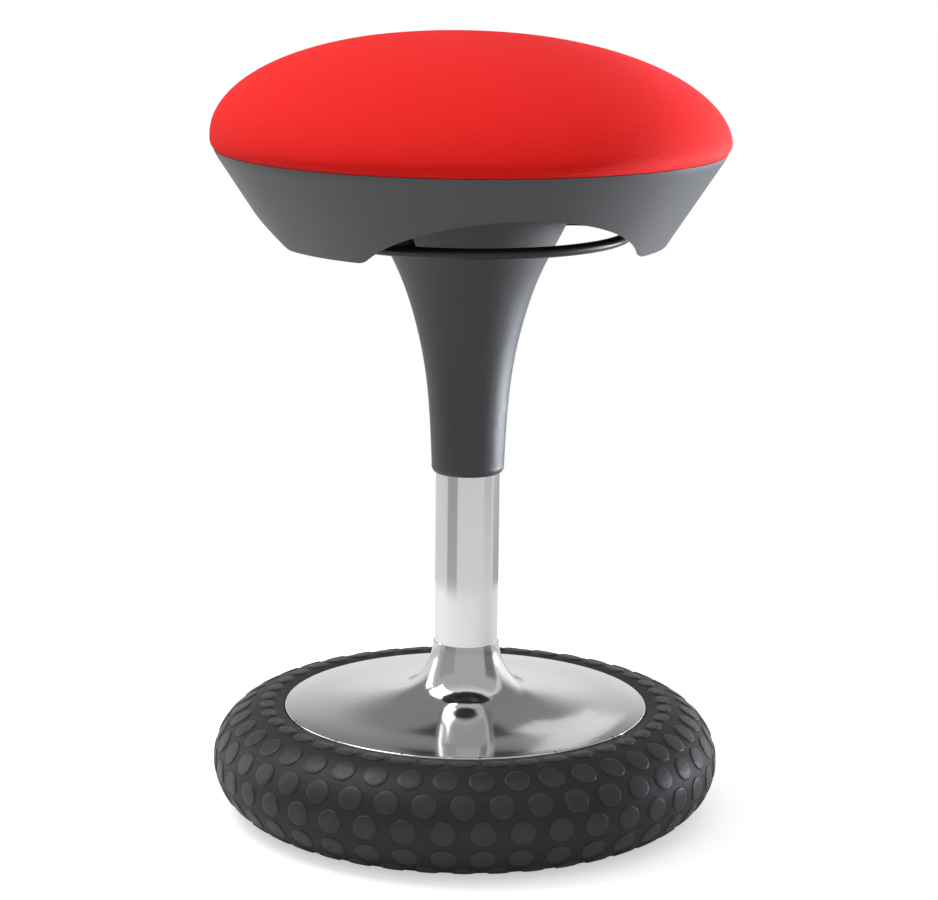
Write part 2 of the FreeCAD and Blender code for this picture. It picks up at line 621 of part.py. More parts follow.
def make_fulcrum_collar():
    inner = FULCRUM_RADIUS
    outer = FULCRUM_RADIUS + FULCRUM_WALL
    step = BOARD_BOTTOM - FULCRUM_FLANGE_THICKNESS
    collar = turned([
        (inner, FULCRUM_BOTTOM), (outer, FULCRUM_BOTTOM), (outer, step), (FULCRUM_FLANGE, step),
        (FULCRUM_FLANGE, BOARD_BOTTOM), (inner, BOARD_BOTTOM),
    ])
    holes = [disc(FULCRUM_SCREW + 0.2, step - 1, BOARD_BOTTOM + 1, at)
             for at in circle_points(FULCRUM_SCREW_CIRCLE, FULCRUM_SCREW_COUNT)]
    return collar.cut(holes)


def make_fulcrum_screws():
    seat = BOARD_BOTTOM - FULCRUM_FLANGE_THICKNESS
    height = seat - FULCRUM_BOTTOM
    return [pan_screw(at, seat, FULCRUM_SCREW, BOARD_THICKNESS / 2, FULCRUM_SCREW_HEAD, height / 2)
            for at in circle_points(FULCRUM_SCREW_CIRCLE, FULCRUM_SCREW_COUNT)]


def arm_web():
    """The flat part of an arm, which widens into the ring, along +X."""
    inside = RING_RADIUS - RING_BAR
    centre_y = ARM_HALF_WIDTH + ARM_FILLET
    centre_x = math.sqrt((inside - ARM_FILLET) ** 2 - centre_y ** 2)
    reach = inside / (inside - ARM_FILLET)
    bisector = math.atan2(centre_y, centre_x)
    middle_angle = (bisector - math.pi / 2) / 2

    def side(sign):
        start = Vector(centre_x, sign * ARM_HALF_WIDTH, 0)
        middle = Vector(centre_x + ARM_FILLET * math.cos(middle_angle),
                        sign * (centre_y + ARM_FILLET * math.sin(middle_angle)), 0)
        end = Vector(centre_x * reach, sign * centre_y * reach, 0)
        return start, middle, end

    low = side(-1)
    high = side(1)
    root_low = Vector(RISER_RADIUS, -ARM_HALF_WIDTH, 0)
    root_high = Vector(RISER_RADIUS, ARM_HALF_WIDTH, 0)
    grow = RING_RADIUS / inside
    outer_low = low[2] * grow
    outer_high = high[2] * grow
    wire = Part.Wire([
        Part.makeLine(root_low, low[0]),
        Part.Arc(low[0], low[1], low[2]).toShape(),
        Part.makeLine(low[2], outer_low),
        Part.Arc(outer_low, Vector(RING_RADIUS, 0, 0), outer_high).toShape(),
        Part.makeLine(outer_high, high[2]),
        Part.Arc(high[2], high[1], high[0]).toShape(),
        Part.makeLine(high[0], root_high),
        Part.makeLine(root_high, root_low),
    ])
    web = Part.Face(wire).extrude(Vector(0, 0, ARM_THICKNESS))
    web.translate(Vector(0, 0, RING_HEIGHT - ARM_THICKNESS / 2))
    return web


def make_release_ring():
    bar = Part.makeTorus(RING_RADIUS, RING_BAR, Vector(0, 0, RING_HEIGHT), AXIS)
    pieces = [disc(LEVER_RADIUS, LEVER_BOTTOM, LEVER_TOP)]
    riser_outer = RISER_RADIUS + RISER_THICKNESS
    for angle in ARM_ANGLES:
        pieces.append(rotated(arm_web(), angle))
        pieces.append(radial_box(RISER_RADIUS, riser_outer, ARM_HALF_WIDTH,
                                 RING_HEIGHT - ARM_THICKNESS / 2, LEVER_TOP, angle))
        pieces.append(radial_box(0, riser_outer, ARM_HALF_WIDTH, LEVER_BOTTOM, LEVER_TOP, angle))
    return bar.fuse(pieces).removeSplitter()


def make_column_shroud():
    top = (SHROUD_TOP_RADIUS, FLANGE_BOTTOM)
    outer = [(radius, SHROUD_FOOT + height) for radius, height in SHROUD_OUTLINE] + [top]
    inner = [(radius - SHROUD_WALL, height) for radius, height in outer]
    edge = top[0] + SHROUD_FLANGE
    bore_foot = (inner[0][0], SHROUD_FOOT)
    round_foot = (outer[0][0] - SHROUD_FOOT_ROUND, SHROUD_FOOT)
    round_middle = (outer[0][0] - SHROUD_FOOT_ROUND / 4, (2 * SHROUD_FOOT + outer[0][1]) / 3)
    body = revolved([
        smooth(outer),
        line(top, (edge, FLANGE_BOTTOM)),
        line((edge, FLANGE_BOTTOM), (edge, BOARD_BOTTOM)),
        line((edge, BOARD_BOTTOM), (inner[-1][0], BOARD_BOTTOM)),
        line((inner[-1][0], BOARD_BOTTOM), inner[-1]),
        smooth(inner),
        line(inner[0], bore_foot),
        line(bore_foot, round_foot),
        curved(round_foot, round_middle, outer[0]),
    ])
    slot_foot = RING_HEIGHT - ARM_THICKNESS / 2 - SLOT_BELOW
    slots = [radial_box(RISER_RADIUS, RING_RADIUS, ARM_HALF_WIDTH + SLOT_SIDE, slot_foot,
                        BOARD_BOTTOM + 1, angle) for angle in ARM_ANGLES]
    holes = [disc(SHROUD_SCREW + MOVING_GAP, FLANGE_BOTTOM - 1, BOARD_BOTTOM + 1, at)
             for at in shroud_screw_points()]
    return body.cut(slots + holes)


def make_shroud_screws():
    return [pan_screw(at, FLANGE_BOTTOM, SHROUD_SCREW, WOOD_SCREW_LENGTH, SHROUD_SCREW_HEAD,
                      SHELL_SCREW_HEAD_HEIGHT) for at in shroud_screw_points()]


def arch_cutter():
    """What an arch takes out of the seat shell at the front, with rounded corners at its feet."""
    reach = Vector(0, -2 * SHELL_RIM_RADIUS, 0)
    ellipse = Part.Ellipse(ORIGIN, ARCH_HALF_WIDTH, ARCH_HEIGHT).toShape()
    ellipse.rotate(ORIGIN, Vector(1, 0, 0), 90)
    ellipse.translate(Vector(0, 0, ARCH_CENTRE))
    arch = Part.Face(Part.Wire([ellipse])).extrude(reach)
    half = ARCH_HALF_WIDTH + 3 * EAR_FILLET
    below = Part.makeBox(2 * half, -reach.y, ARCH_HEIGHT, Vector(-half, reach.y, SHELL_FOOT - ARCH_HEIGHT))
    cutter = arch.fuse(below).removeSplitter()
    corners = [edge for edge in cutter.Edges
               if abs(edge.CenterOfMass.z - SHELL_FOOT) < 0.01 and edge.BoundBox.XLength < 0.01
               and abs(edge.CenterOfMass.x) < ARCH_HALF_WIDTH]
    return cutter.makeFillet(EAR_FILLET, corners)


def make_seat_shell():
    shoulder = (SHELL_SHOULDER_RADIUS, SHELL_TOP - SHELL_SHOULDER)
    foot = (SHELL_FOOT_RADIUS, SHELL_FOOT)
    slope = math.atan2(shoulder[0] - foot[0], shoulder[1] - foot[1])
    across = SHELL_WALL / math.cos(slope)
    bulge = (SHELL_RIM_RADIUS + shoulder[0]) / 2 + SHELL_WALL / 8
    half_way = SHELL_TOP - SHELL_SHOULDER / 2
    ledge_bottom = LEDGE_TOP - SHELL_WALL

    def inner_wall(height):
        return foot[0] - across + (height - foot[1]) * math.tan(slope)

    rim_inner = SHELL_RIM_RADIUS - SHELL_WALL
    rim_foot = rim_inner - SHELL_ROUND * (SHELL_TOP - LEDGE_TOP) / SHELL_SHOULDER
    body = revolved([
        line(foot, shoulder),
        curved(shoulder, (bulge, half_way), (SHELL_RIM_RADIUS, SHELL_TOP)),
        line((SHELL_RIM_RADIUS, SHELL_TOP), (rim_inner, SHELL_TOP)),
        line((rim_inner, SHELL_TOP), (rim_foot, LEDGE_TOP)),
        line((rim_foot, LEDGE_TOP), (LEDGE_RADIUS, LEDGE_TOP)),
        line((LEDGE_RADIUS, LEDGE_TOP), (LEDGE_RADIUS, ledge_bottom)),
        line((LEDGE_RADIUS, ledge_bottom), (inner_wall(ledge_bottom), ledge_bottom)),
        line((inner_wall(ledge_bottom), ledge_bottom), (inner_wall(SHELL_FOOT), SHELL_FOOT)),
        line((inner_wall(SHELL_FOOT), SHELL_FOOT), foot),
    ])
    body = body.cut([rotated(arch_cutter(), 360.0 * i / ARCH_COUNT) for i in range(ARCH_COUNT)])
    holes = [disc(SHELL_SCREW + MOVING_GAP, ledge_bottom - 1, LEDGE_TOP + 1, at)
             for at in shell_screw_points()]
    return body.cut(holes)


def make_shell_screws():
    return [pan_screw(at, LEDGE_TOP - SHELL_WALL, SHELL_SCREW, WOOD_SCREW_LENGTH, SHELL_SCREW_HEAD,
                      SHELL_SCREW_HEAD_HEIGHT) for at in shell_screw_points()]


def dome(inset):
    """The cushion above its widest line, leaning back, smaller by an inset."""
    wires = []
    for index in range(CUSHION_SECTIONS + 1):
        turn = math.pi / 2 * min(index / CUSHION_SECTIONS, CROWN_START)
        share = math.sin(turn)
        height = CUSHION_MIDDLE + (CUSHION_RISE - inset) * share
        centre = Vector(0, CUSHION_LEAN * share ** CUSHION_LEAN_POWER, height)
        radius = (CUSHION_RADIUS - inset) * math.cos(turn) ** CUSHION_FULLNESS
        wires.append(Part.Wire([Part.makeCircle(radius, centre, AXIS)]))
    return Part.makeLoft(wires, True, False)


def skirting(inset):
    """The cushion's rounded side below its widest line, down to the shell's rim."""
    radius = CUSHION_RADIUS - inset
    bottom = CUSHION_BOTTOM + inset
    corner = CUSHION_CORNER - inset / 2
    middle = (radius - corner / 4, bottom + (CUSHION_MIDDLE - bottom) / 3)
    return revolved([
        curved((radius, CUSHION_MIDDLE), middle, (radius - corner, bottom)),
        line((radius - corner, bottom), (0, bottom)),
        line((0, bottom), (0, CUSHION_MIDDLE)),
        line((0, CUSHION_MIDDLE), (radius, CUSHION_MIDDLE)),
    ])


def cushion(inset):
    return dome(inset).fuse(skirting(inset)).removeSplitter()


def make_foam_pad():
    board = disc(BOARD_RADIUS + MOVING_GAP, CUSHION_BOTTOM - 1, BOARD_TOP)
    return cushion(COVER_THICKNESS).cut(board)


def make_seat_cover():
    outside = cushion(0)
    edge = BOARD_RADIUS + COVER_THICKNESS
    tuck = turned([
        (COVER_TUCK, LEDGE_TOP), (edge, LEDGE_TOP), (edge, CUSHION_BOTTOM + COVER_THICKNESS),
        (BOARD_RADIUS, CUSHION_BOTTOM + COVER_THICKNESS), (BOARD_RADIUS, BOARD_BOTTOM),
        (COVER_TUCK, BOARD_BOTTOM),
    ])
    well = disc(BOARD_RADIUS, CUSHION_BOTTOM - 1, BOARD_TOP)
    skin = outside.cut(cushion(COVER_THICKNESS)).cut(well).fuse(tuck).removeSplitter()
    holes = [disc(SHELL_SCREW + MOVING_GAP, LEDGE_TOP - 1, BOARD_BOTTOM + 1, at)
             for at in shell_screw_points()]
    return skin.cut(holes + staples(grow=RUNNING_FIT))


def make_cover_staples():
    return staples()


PIECES = {
    "tyre": make_tyre,
    "base_disc": make_base_disc,
    "base_plate": make_base_plate,
    "base_plate_screws": make_base_plate_screws,
    "hub_cap": make_hub_cap,
    "column_tube": make_column_tube,
    "column_floor": make_column_floor,
    "column_guide": make_column_guide,
    "thrust_race_lower": make_thrust_race_lower,
    "thrust_balls": make_thrust_balls,
    "thrust_cage": make_thrust_cage,
    "thrust_race_upper": make_thrust_race_upper,
    "rod_buffer": make_rod_buffer,
    "piston_rod": make_piston_rod,
    "piston": make_piston,
    "rod_washer": make_rod_washer,
    "rod_clip": make_rod_clip,
    "gas_cylinder": make_gas_cylinder,
    "cylinder_gland": make_cylinder_gland,
    "release_pin": make_release_pin,
    "taper_bush": make_taper_bush,
    "mounting_plate": make_mounting_plate,
    "mounting_bolts": make_mounting_bolts,
    "mounting_washers": make_mounting_washers,
    "board_nuts": make_board_nuts,
    "seat_board": make_seat_board,
    "fulcrum_collar": make_fulcrum_collar,
    "fulcrum_screws": make_fulcrum_screws,
    "release_ring": make_release_ring,
    "column_shroud": make_column_shroud,
    "shroud_screws": make_shroud_screws,
    "seat_shell": make_seat_shell,
    "shell_screws": make_shell_screws,
    "foam_pad": make_foam_pad,
    "seat_cover": make_seat_cover,
    "cover_staples": make_cover_staples,
}


def main():
    os.makedirs("parts", exist_ok=True)
    for name, make in PIECES.items():
        made = make()
        shape = Part.makeCompound(made) if isinstance(made, list) else made
        solids = shape.Solids
        if len(solids) == 1:
            shape = solids[0]
        state = "valid" if shape.isValid() else "NOT VALID"
        box = shape.BoundBox
        print(f"{name:20s} {len(solids):3d} solids {shape.Volume / 1000:9.2f} cm3 "
              f"z {box.ZMin:7.2f} to {box.ZMax:7.2f} {state}")
        shape.exportStep(f"parts/{name}.step")


main()
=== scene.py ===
# %% [markdown]
# # Wobble stool
# A round domed seat on a gas lift, with a rubber ring for a base so that the stool rocks. The packed
# model is the fixed frame: its solids already have the right size and place, and they move with their
# bodies. This script gives each of them a finish, and makes anew the two things that a plain solid can't
# show: the padded, knitted seat and the ring's moulded nubs. It then sets up a plain studio with the
# camera at the photograph's angle.

# %% Load the frame
import json
import math

import bmesh
import bpy
from mathutils import Matrix, Vector


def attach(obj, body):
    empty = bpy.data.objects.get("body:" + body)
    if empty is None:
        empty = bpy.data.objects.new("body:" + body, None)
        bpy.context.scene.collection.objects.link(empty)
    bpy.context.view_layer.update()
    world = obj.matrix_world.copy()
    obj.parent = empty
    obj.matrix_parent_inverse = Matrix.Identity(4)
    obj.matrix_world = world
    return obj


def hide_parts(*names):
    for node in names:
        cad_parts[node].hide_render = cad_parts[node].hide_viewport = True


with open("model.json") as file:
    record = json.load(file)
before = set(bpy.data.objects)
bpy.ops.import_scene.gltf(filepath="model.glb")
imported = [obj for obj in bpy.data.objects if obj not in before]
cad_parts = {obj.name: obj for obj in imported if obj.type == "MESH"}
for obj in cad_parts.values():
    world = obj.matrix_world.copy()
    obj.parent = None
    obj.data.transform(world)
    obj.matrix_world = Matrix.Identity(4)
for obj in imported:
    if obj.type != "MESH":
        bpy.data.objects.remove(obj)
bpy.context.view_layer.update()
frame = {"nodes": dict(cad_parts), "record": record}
MM = 0.001
FINISHES = {}

# %% [markdown]
# ## Colours and nodes
# Colours are given as sRGB hex values, but shaders work in linear light, so one function converts
# them. A material is a small graph. Adding each node by hand takes five lines, and one helper brings that
# to one: it makes the node, sets its properties, and sets or links its inputs, by place or by name.

# %% Colour and node helpers
def rgb(code):
    """A hex colour as linear red, green, blue and alpha."""
    channels = [int(code[i:i + 2], 16) / 255 for i in (1, 3, 5)]
    linear = [c / 12.92 if c <= 0.04045 else ((c + 0.055) / 1.055) ** 2.4 for c in channels]
    return (*linear, 1.0)


def add(tree, kind, *values, out=0, **settings):
    """Adds a node and returns one of its outputs. Inputs come in order, or by name from one dict."""
    made = tree.nodes.new("ShaderNode" + kind)
    for name, value in settings.items():
        setattr(made, name, value)
    named = len(values) == 1 and isinstance(values[0], dict)
    for key, value in (values[0] if named else dict(enumerate(values))).items():
        if isinstance(value, bpy.types.NodeSocket):
            tree.links.new(value, made.inputs[key])
        else:
            made.inputs[key].default_value = value
    return made.outputs[out] if made.outputs else made


def new_material(name, **sockets):
    """A material, its node tree and its shader, with values set on the shader's own sockets."""
    made = bpy.data.materials.new(name)
    made.use_nodes = True
    shader = made.node_tree.nodes["Principled BSDF"]
    for socket, value in sockets.items():
        shader.inputs[socket.replace("_", " ")].default_value = value
    return made, made.node_tree, shader


def connect(tree, shader, **sockets):
    """Links outputs of nodes to the shader's sockets."""
    for socket, source in sockets.items():
        tree.links.new(source, shader.inputs[socket.replace("_", " ")])


def per_mm(spacing):
    """The scale of a pattern whose features are a number of millimetres apart."""
    return 1.0 / (spacing * MM)


def keep(name, made):
    """Files a finished material and says how large its graph is."""
    FINISHES[name] = made
    print(name, len(made.node_tree.nodes), "nodes")


print("white is", rgb("#FFFFFF"))

# %% [markdown]
# ## Moulded rubber
# The base ring is carbon-filled rubber from a steel mould. Carbon black makes it nearly black, and it
# keeps a dull sheen with fine flow wrinkles, because the mould isn't polished. The tops of the nubs are a
# little smoother, since they are what the hand and the floor rub, and they are painted lighter as a
# painted highlight. The nubs' own attribute picks them out, so the finish follows the shape wherever the
# ring is turned. Wrinkles are about 5 mm apart and the grain about 1 mm.

# %% Rubber
def moulded_rubber(name):
    """Nearly black, with smoother nubs whose tops carry a painted highlight."""
    made, tree, shader = new_material(name, Specular_IOR_Level=0.38)
    place = add(tree, "TexCoord", out="Object")
    nub = add(tree, "Attribute", attribute_name="nub", out="Fac")
    cloud = add(tree, "TexNoise", {"Vector": place, "Scale": per_mm(25.0), "Detail": 4.0})
    wrinkle = {"Vector": place, "Scale": per_mm(5.2632), "Detail": 5.0, "Roughness": 0.7}
    wrinkle = add(tree, "TexNoise", wrinkle)
    grain = add(tree, "TexNoise", {"Vector": place, "Scale": per_mm(1.1111), "Detail": 2.0})
    ground = add(tree, "Mix", {0: cloud, 6: rgb("#191A1C"), 7: rgb("#262729")}, data_type="RGBA", out=2)
    # Painted highlight: the nub tops get lighter greys, mottled by the wrinkles
    nub_top_highlight = add(tree, "Mix", {0: wrinkle, 6: rgb("#222427"), 7: rgb("#383B3F")}, data_type="RGBA", out=2)
    colour = add(tree, "Mix", {0: nub, 6: ground, 7: nub_top_highlight}, data_type="RGBA", out=2)
    dull = add(tree, "MapRange", wrinkle, 0.3, 0.7, 0.58, 0.46)
    rough = add(tree, "Math", nub, -0.12, dull, operation="MULTIPLY_ADD")
    relief = add(tree, "Bump", {"Height": wrinkle, "Distance": 0.6 * MM, "Strength": 0.5})
    relief = add(tree, "Bump", {"Height": grain, "Distance": 0.2 * MM, "Strength": 0.5, "Normal": relief})
    connect(tree, shader, Base_Color=colour, Roughness=rough, Normal=relief)
    return made


keep("rubber", moulded_rubber("rubber"))

# %% [markdown]
# ## Metals
# The base disc is cast aluminium, turned on a lathe and polished, so it mirrors the room with very faint
# rings about its axis. The column and the piston rod are chromed steel, ground along their length before
# plating. Both metals get their look from what they reflect, so they only need a clean colour, a low
# roughness and those fine marks. The fasteners and sheet parts are zinc plated, ground bright or powder
# coated, which one recipe covers: a mottled colour and a roughness that wavers with the grain.

# %% Polished aluminium
def polished_aluminium(name):
    """Bright, with lathe rings read from radius and height."""
    made, tree, shader = new_material(name, Metallic=1.0)
    place = add(tree, "TexCoord", out="Object")
    flat = add(tree, "VectorMath", place, (1.0, 1.0, 0.0), operation="MULTIPLY")
    radius = add(tree, "VectorMath", flat, operation="LENGTH", out="Value")
    height = add(tree, "SeparateXYZ", place, out="Z")
    across = add(tree, "CombineXYZ", radius, height)
    rings = add(tree, "TexNoise", {"Vector": across, "Scale": per_mm(1.66667), "Detail": 3.0})
    cloud = add(tree, "TexNoise", {"Vector": place, "Scale": per_mm(90.909), "Detail": 3.0})
    tone = add(tree, "Mix", {0: cloud, 6: rgb("#D2D3D1"), 7: rgb("#E2E2E4")}, data_type="RGBA", out=2)
    rough = add(tree, "MapRange", rings, 0.3, 0.7, 0.075, 0.125)
    relief = add(tree, "Bump", {"Height": rings, "Distance": 0.02 * MM, "Strength": 0.3})
    relief = add(tree, "Bump", {"Height": cloud, "Distance": 1.5 * MM, "Strength": 0.12, "Normal": relief})
    connect(tree, shader, Base_Color=tone, Roughness=rough, Normal=relief)
    return made


keep("polished_aluminium", polished_aluminium("polished_aluminium"))

# %% Chrome
def bright_chrome(name):
    """Brighter still, with grinding marks drawn out along the column."""
    made, tree, shader = new_material(name, Metallic=1.0)
    place = add(tree, "TexCoord", out="Object")
    along = add(tree, "Mapping", {"Vector": place, "Scale": (1.0, 1.0, 0.01)})
    grind = add(tree, "TexNoise", {"Vector": along, "Scale": per_mm(2.38095), "Detail": 3.0})
    smear = add(tree, "TexNoise", {"Vector": place, "Scale": per_mm(62.5), "Detail": 3.0})
    tone = add(tree, "Mix", {0: smear, 6: rgb("#E4E6E8"), 7: rgb("#F0F0F0")}, data_type="RGBA", out=2)
    rough = add(tree, "MapRange", smear, 0.3, 0.7, 0.06, 0.12)
    relief = add(tree, "Bump", {"Height": grind, "Distance": 0.02 * MM, "Strength": 0.3})
    connect(tree, shader, Base_Color=tone, Roughness=rough, Normal=relief)
    return made


keep("chrome_steel", bright_chrome("chrome_steel"))

# %% Plated steel
def plated_steel(name, dark, light, roughness, metallic=1.0):
    """A mottled colour between two, with a fine grain."""
    made, tree, shader = new_material(name, Metallic=metallic)
    place = add(tree, "TexCoord", out="Object")
    cloud = add(tree, "TexNoise", {"Vector": place, "Scale": per_mm(16.6667), "Detail": 4.0})
    grain = add(tree, "TexNoise", {"Vector": place, "Scale": per_mm(0.90909), "Detail": 2.0})
    tone = add(tree, "Mix", {0: cloud, 6: rgb(dark), 7: rgb(light)}, data_type="RGBA", out=2)
    rough = add(tree, "MapRange", grain, 0.3, 0.7, roughness, roughness + 0.12)
    relief = add(tree, "Bump", {"Height": grain, "Distance": 0.1 * MM, "Strength": 0.4})
    connect(tree, shader, Base_Color=tone, Roughness=rough, Normal=relief)
    return made


keep("zinc_steel", plated_steel("zinc_steel", "#A9ACAF", "#C6C9CB", 0.30))
keep("bright_steel", plated_steel("bright_steel", "#B6B8BA", "#CDCFD0", 0.16))
keep("black_steel", plated_steel("black_steel", "#161718", "#202122", 0.42, metallic=0.0))
keep("brass", plated_steel("brass", "#A8873F", "#C9A558", 0.24))

# %% [markdown]
# ## Moulded plastic
# The seat shell, the shroud and the release ring are injection-moulded polypropylene with an eroded
# texture from the mould. The texture is about half a millimetre across, too fine for the render, so it is
# drawn about 0.8 mm wide. It breaks up the highlight and gives the satin look. The shroud's is coarser
# and darker than the shell's.

# %% Plastic
def moulded_plastic(name, dark, light, roughness, grain_width=0.76923, grain_depth=0.2):
    """Satin plastic with an eroded grain, whose width and depth are in millimetres."""
    made, tree, shader = new_material(name, Specular_IOR_Level=0.5)
    place = add(tree, "TexCoord", out="Object")
    cloud = add(tree, "TexNoise", {"Vector": place, "Scale": per_mm(83.3333), "Detail": 3.0})
    grain = {"Vector": place, "Scale": per_mm(grain_width), "Detail": 2.0, "Roughness": 0.7}
    grain = add(tree, "TexNoise", grain)
    fine = add(tree, "Math", grain, 0.4, operation="MULTIPLY")
    mottle = add(tree, "Math", cloud, 0.6, fine, operation="MULTIPLY_ADD")
    tone = add(tree, "Mix", {0: mottle, 6: rgb(dark), 7: rgb(light)}, data_type="RGBA", out=2)
    rough = add(tree, "MapRange", mottle, 0.3, 0.7, roughness - 0.04, roughness + 0.06)
    relief = add(tree, "Bump", {"Height": grain, "Distance": grain_depth * MM, "Strength": 0.6})
    connect(tree, shader, Base_Color=tone, Roughness=rough, Normal=relief)
    return made


keep("black_plastic", moulded_plastic("black_plastic", "#151617", "#1D1E1F", 0.36))
keep("grey_plastic", moulded_plastic("grey_plastic", "#47484A", "#535557", 0.36))
keep("shroud_plastic", moulded_plastic("shroud_plastic", "#363739", "#434446", 0.38, 1.0, 0.5))

# %% [markdown]
# ## Board and foam
# The cushion is built on a round board of birch plywood, coloured dark all over. Long noise gives the
# face grain and a wave along Z gives the veneers at the edge. The cushion is moulded foam. Its cells are
# under a millimetre. They are drawn 1.4 mm wide, by a Voronoi pattern, which makes round cells directly.

# %% Plywood
def dark_plywood(name):
    """Dark birch with grain along Y and veneers stacked along Z."""
    made, tree, shader = new_material(name, Roughness=0.6)
    place = add(tree, "TexCoord", out="Object")
    along = add(tree, "Mapping", {"Vector": place, "Scale": (1.0, 0.08, 1.0)})
    grain = add(tree, "TexNoise", {"Vector": along, "Scale": per_mm(22.2222), "Detail": 5.0})
    # A wave repeats every 0.1 pi over its scale, so the veneers are 3 mm thick
    veneer = {"Vector": place, "Scale": 0.1 * math.pi / (2.99199 * MM), "Distortion": 0.6}
    veneer = add(tree, "TexWave", veneer, bands_direction="Z", out="Fac")
    tone = add(tree, "Mix", {0: grain, 6: rgb("#2A2623"), 7: rgb("#3D3833")}, data_type="RGBA", out=2)
    layer = add(tree, "Math", veneer, 0.35, operation="MULTIPLY")
    tone = add(tree, "Mix", {0: layer, 6: tone, 7: rgb("#211D1A")}, data_type="RGBA", out=2)
    relief = add(tree, "Bump", {"Height": grain, "Distance": 0.3 * MM, "Strength": 0.4})
    connect(tree, shader, Base_Color=tone, Normal=relief)
    return made


keep("plywood", dark_plywood("plywood"))

# %% Foam finish
def moulded_foam(name):
    """Pale cells, darker in their hollows as painted shade."""
    made, tree, shader = new_material(name, Roughness=0.95)
    place = add(tree, "TexCoord", out="Object")
    cells = add(tree, "TexVoronoi", {"Vector": place, "Scale": per_mm(1.42857)})
    # Painted shade: each cell is darker towards its middle, where the bump makes a hollow
    tone = add(tree, "Mix", {0: cells, 6: rgb("#D9CC98"), 7: rgb("#F0E6BC")}, data_type="RGBA", out=2)
    relief = add(tree, "Bump", {"Height": cells, "Distance": 0.6 * MM, "Strength": 0.7})
    connect(tree, shader, Base_Color=tone, Normal=relief)
    return made


keep("foam", moulded_foam("foam"))

# %% [markdown]
# ## Knitted polyester
# The cover is a stretch knit. Up close it is columns of small V-shaped stitches, which read as a fine
# twill from a step away. The real stitches are about 1.3 mm wide. They are drawn 2.4 mm wide, or they
# wouldn't show. The pattern reads a UV map in metres that the cover carries, measured along the cloth
# from its crown, so that it runs over the edge as cloth does. Sheen stands for the fuzz that brightens
# the edges. The cover's hem under the board is bound with black tape.

# %% Knit and binding
STITCH_WIDTH = 2.4                 # millimetres
STITCH_HEIGHT = 1.9


def stretch_knit(name, low, high, sheen):
    """Columns of V stitches: each row's height rises towards both sides of its column; low parts get
    painted shade.
    """
    made, tree, shader = new_material(name, Roughness=0.8, Sheen_Weight=sheen, Sheen_Roughness=0.4,
                                      Specular_IOR_Level=0.22)
    shader.inputs["Sheen Tint"].default_value = rgb("#FF6A86")
    cloth = add(tree, "UVMap", uv_map="cloth")
    along = add(tree, "SeparateXYZ", cloth, out="X")
    up = add(tree, "SeparateXYZ", cloth, out="Y")
    column = add(tree, "Math", along, per_mm(STITCH_WIDTH), operation="MULTIPLY")
    row = add(tree, "Math", up, per_mm(STITCH_HEIGHT), operation="MULTIPLY")
    across = add(tree, "Math", column, operation="FRACT")
    across = add(tree, "Math", across, 0.5, operation="SUBTRACT")
    across = add(tree, "Math", across, operation="ABSOLUTE")
    leg = add(tree, "Math", row, across, operation="ADD")
    leg = add(tree, "Math", leg, 2 * math.pi, operation="MULTIPLY")
    leg = add(tree, "Math", leg, operation="SINE")
    rib = add(tree, "Math", across, 2 * math.pi, operation="MULTIPLY")
    rib = add(tree, "Math", rib, operation="SINE")
    height = add(tree, "Math", leg, 0.5, 0.5, operation="MULTIPLY_ADD")
    height = add(tree, "Math", height, rib, operation="MULTIPLY")
    fuzz = add(tree, "TexNoise", {"Vector": cloth, "Scale": per_mm(0.76923), "Detail": 2.0})
    # Painted shade: the colour is darker where the stitches are low, in the grooves between them
    tone = add(tree, "Mix", {0: height, 6: rgb(low), 7: rgb(high)}, data_type="RGBA", out=2)
    relief = add(tree, "Bump", {"Height": height, "Distance": 0.4 * MM, "Strength": 0.5})
    relief = add(tree, "Bump", {"Height": fuzz, "Distance": 0.2 * MM, "Strength": 0.4, "Normal": relief})
    connect(tree, shader, Base_Color=tone, Normal=relief)
    return made


keep("red_knit", stretch_knit("red_knit", "#EE120A", "#FF1F15", 0.10))
keep("black_tape", stretch_knit("black_tape", "#141415", "#1E1E20", 0.05))

# %% [markdown]
# ## Finishes for the frame's pieces
# Each solid in the record names a material slot. The solids stay as they are, and only what is in their
# material slots changes. The shroud is the same plastic as the shell in a coarser texture.

# %% Assign the finishes
OWN_FINISH = {"column_shroud": "shroud_plastic"}

for part in frame["record"]["subparts"]:
    slots = frame["nodes"][part["node"]].data.materials
    slots.clear()
    slots.append(FINISHES[OWN_FINISH.get(part["node"], part["material_slot"])])
print("finishes in use:", len(FINISHES))

# %% [markdown]
# ## From a bmesh to an object
# New pieces are built as a bmesh at their place in the frame, so their objects stay at the origin, as the
# frame's own do. Normals are recalculated before a wall gets its thickness, and every face is smooth.

# %% Object helper
def make_object(name, builder, *finishes):
    """An object at the origin from a bmesh, with its finishes."""
    bmesh.ops.recalc_face_normals(builder, faces=builder.faces)
    for face in builder.faces:
        face.smooth = True
    mesh = bpy.data.meshes.new(name)
    builder.to_mesh(mesh)
    builder.free()
    made = bpy.data.objects.new(name, mesh)
    bpy.context.collection.objects.link(made)
    for finish in finishes:
        mesh.materials.append(FINISHES[finish])
    print(name, len(mesh.polygons), "faces")
    return made


def spin_outline(builder, points, steps, closed=False):
    """Spins a chain of points, as radius and height, a full turn round the Z axis."""
    verts = [builder.verts.new((radius, 0.0, height)) for radius, height in points]
    pairs = list(zip(verts, verts[1:])) + ([(verts[-1], verts[0])] if closed else [])
    edges = [builder.edges.new(pair) for pair in pairs]
    old = set(builder.verts) - set(verts)
    bmesh.ops.spin(builder, geom=verts + edges, cent=(0, 0, 0), axis=(0, 0, 1), angle=2 * math.pi,
                   steps=steps, use_merge=True)
    spun = [v for v in builder.verts if v not in old]
    bmesh.ops.remove_doubles(builder, verts=spun, dist=0.01 * MM)

